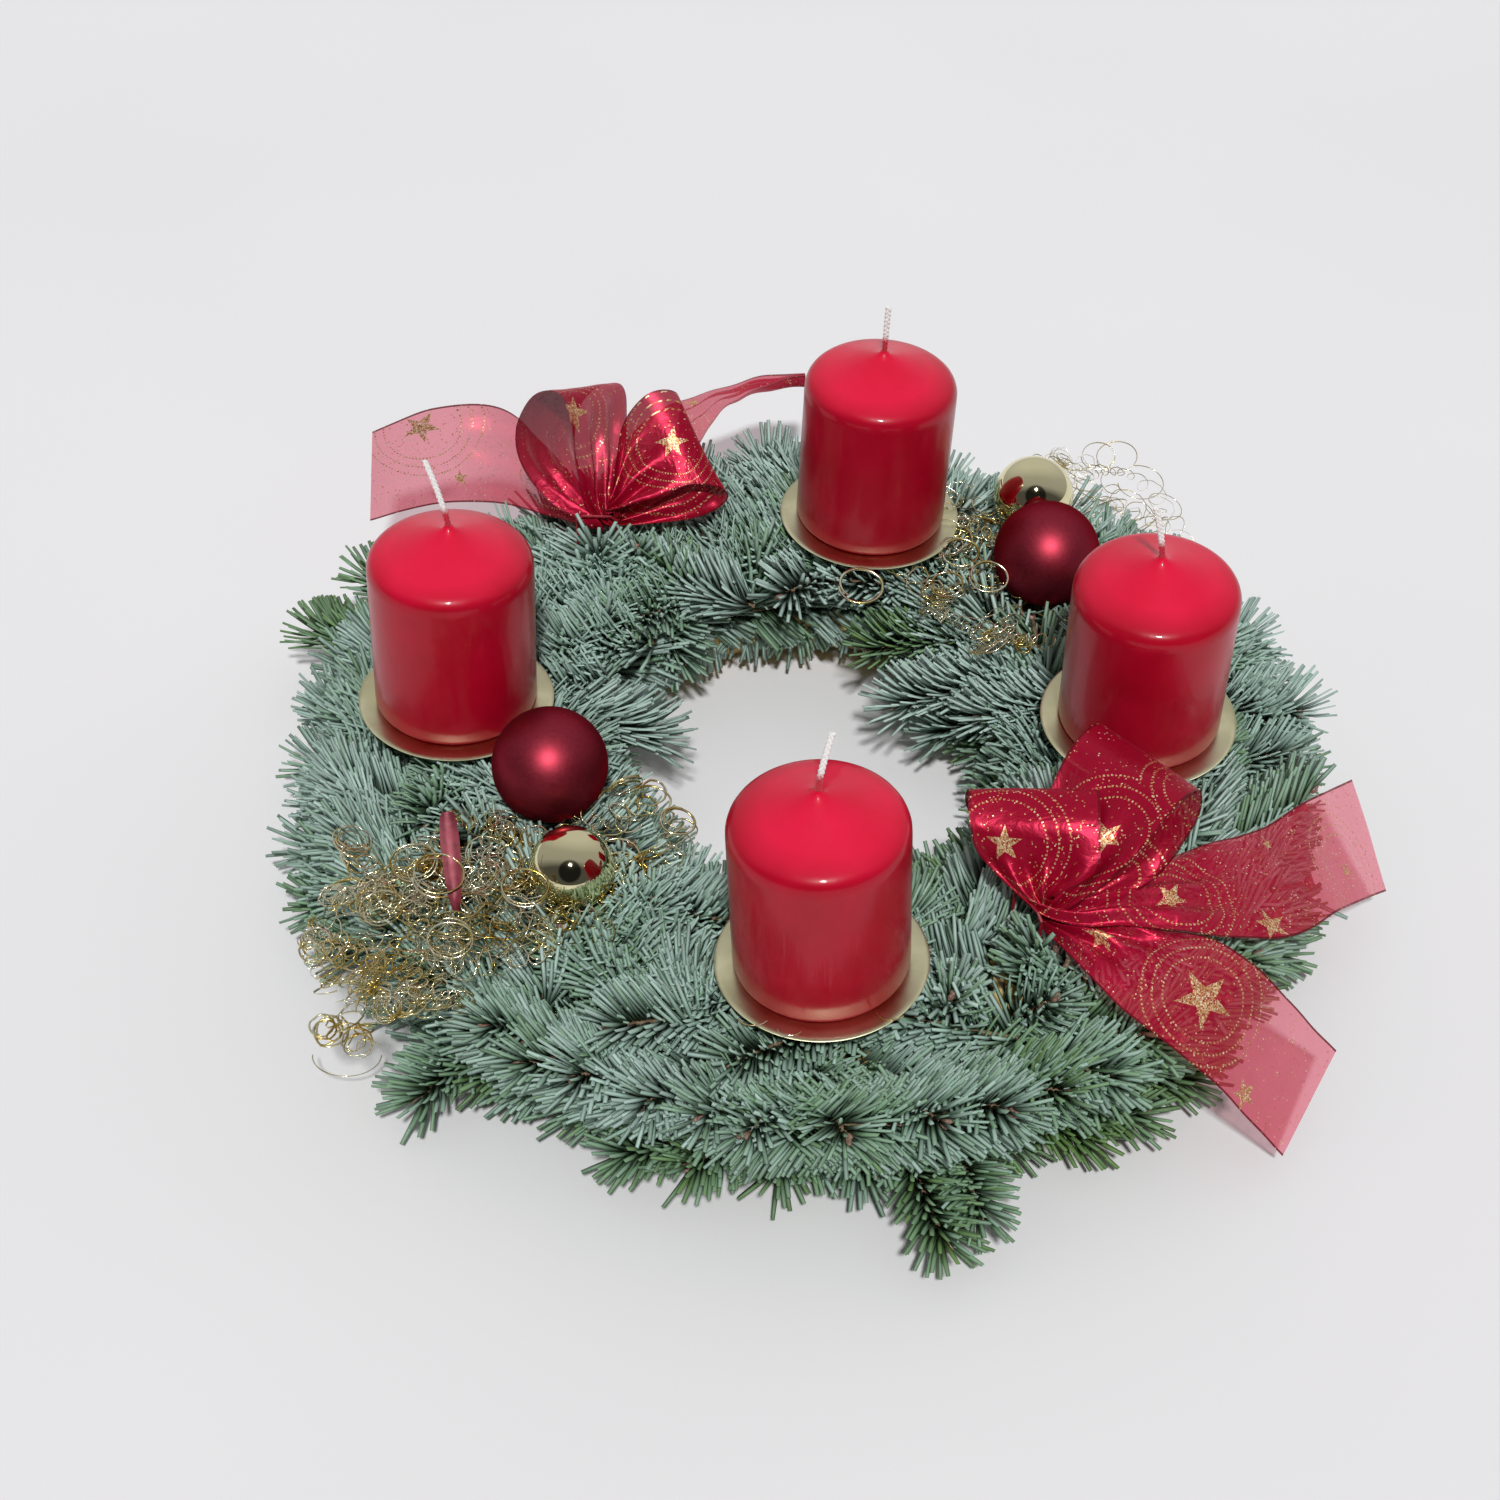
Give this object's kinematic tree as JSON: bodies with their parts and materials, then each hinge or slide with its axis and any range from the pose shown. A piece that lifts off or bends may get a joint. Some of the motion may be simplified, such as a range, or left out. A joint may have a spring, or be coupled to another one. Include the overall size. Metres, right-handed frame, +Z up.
{
  "type": "advent wreath",
  "caption": "Round fir wreath on a straw ring with spiked saucers holding pillar candles, glass baubles, sheer ribbon bows and tufts of gold angel hair. It lies flat on a table.",
  "frame": {"origin": "on the table plane, under the middle of the whole wreath; the straw ring's own middle is at x 1.3 mm, y -12.5 mm", "axes": "+Z up, out of the table; -Y towards the viewer and the front candle; +X to the viewer's right, towards the candle with the larger bow"},
  "size_m": [0.4273, 0.445, 0.1671],
  "materials": {
    "straw": "dry straw, matt",
    "green_wire": "green lacquered iron wire",
    "noble_fir": "waxy blue-green needles on brown twigs",
    "red_wax": "dipped lacquered wax, satin gloss",
    "cotton": "plaited cotton wick, dipped red at its foot",
    "brass": "thin stamped sheet with a satin gold lacquer",
    "steel": "bright drawn wire",
    "red_glass": "blown glass with a satin dark red lacquer, opaque",
    "gold_glass": "blown glass, silvered and lacquered gold, opaque mirror",
    "organza": "sheer red organza with wired edges and gold glitter stars and dotted arcs",
    "angel_hair": "fine curled flat gold wire in a loose tangle",
    "red_foil": "stiff matt mauve-red strip"
  },
  "bodies": {
    "root": {"straw_ring": "straw", "binding_wire": "green_wire", "candle_front": "red_wax", "wick_front": "cotton", "candle_plate_front": "brass", "plate_spike_front": "steel", "candle_left": "red_wax", "wick_left": "cotton", "candle_plate_left": "brass", "plate_spike_left": "steel", "candle_back": "red_wax", "wick_back": "cotton", "candle_plate_back": "brass", "plate_spike_back": "steel", "candle_right": "red_wax", "wick_right": "cotton", "candle_plate_right": "brass", "plate_spike_right": "steel", "red_bauble_left": "red_glass", "stem_red_bauble_left": "steel", "gold_bauble_left": "gold_glass", "stem_gold_bauble_left": "steel", "red_bauble_right": "red_glass", "stem_red_bauble_right": "steel", "gold_bauble_right": "gold_glass", "stem_gold_bauble_right": "steel", "ribbon_bow_front": "organza", "bow_pin_front": "steel", "ribbon_bow_back": "organza", "bow_pin_back": "steel", "angel_hair_left": "angel_hair", "angel_hair_right": "angel_hair", "red_foil_strip": "red_foil", "fir_outer_01": "noble_fir", "fir_outer_02": "noble_fir", "fir_outer_03": "noble_fir", "fir_outer_04": "noble_fir", "fir_outer_05": "noble_fir", "fir_outer_06": "noble_fir", "fir_outer_07": "noble_fir", "fir_outer_08": "noble_fir", "fir_outer_09": "noble_fir", "fir_outer_10": "noble_fir", "fir_outer_11": "noble_fir", "fir_outer_12": "noble_fir", "fir_top_01": "noble_fir", "fir_top_02": "noble_fir", "fir_top_03": "noble_fir", "fir_top_04": "noble_fir", "fir_top_05": "noble_fir", "fir_top_06": "noble_fir", "fir_top_07": "noble_fir", "fir_top_08": "noble_fir", "fir_inner_01": "noble_fir", "fir_inner_02": "noble_fir", "fir_inner_03": "noble_fir", "fir_inner_04": "noble_fir", "fir_inner_05": "noble_fir", "fir_inner_06": "noble_fir"}
  },
  "joints": []
}
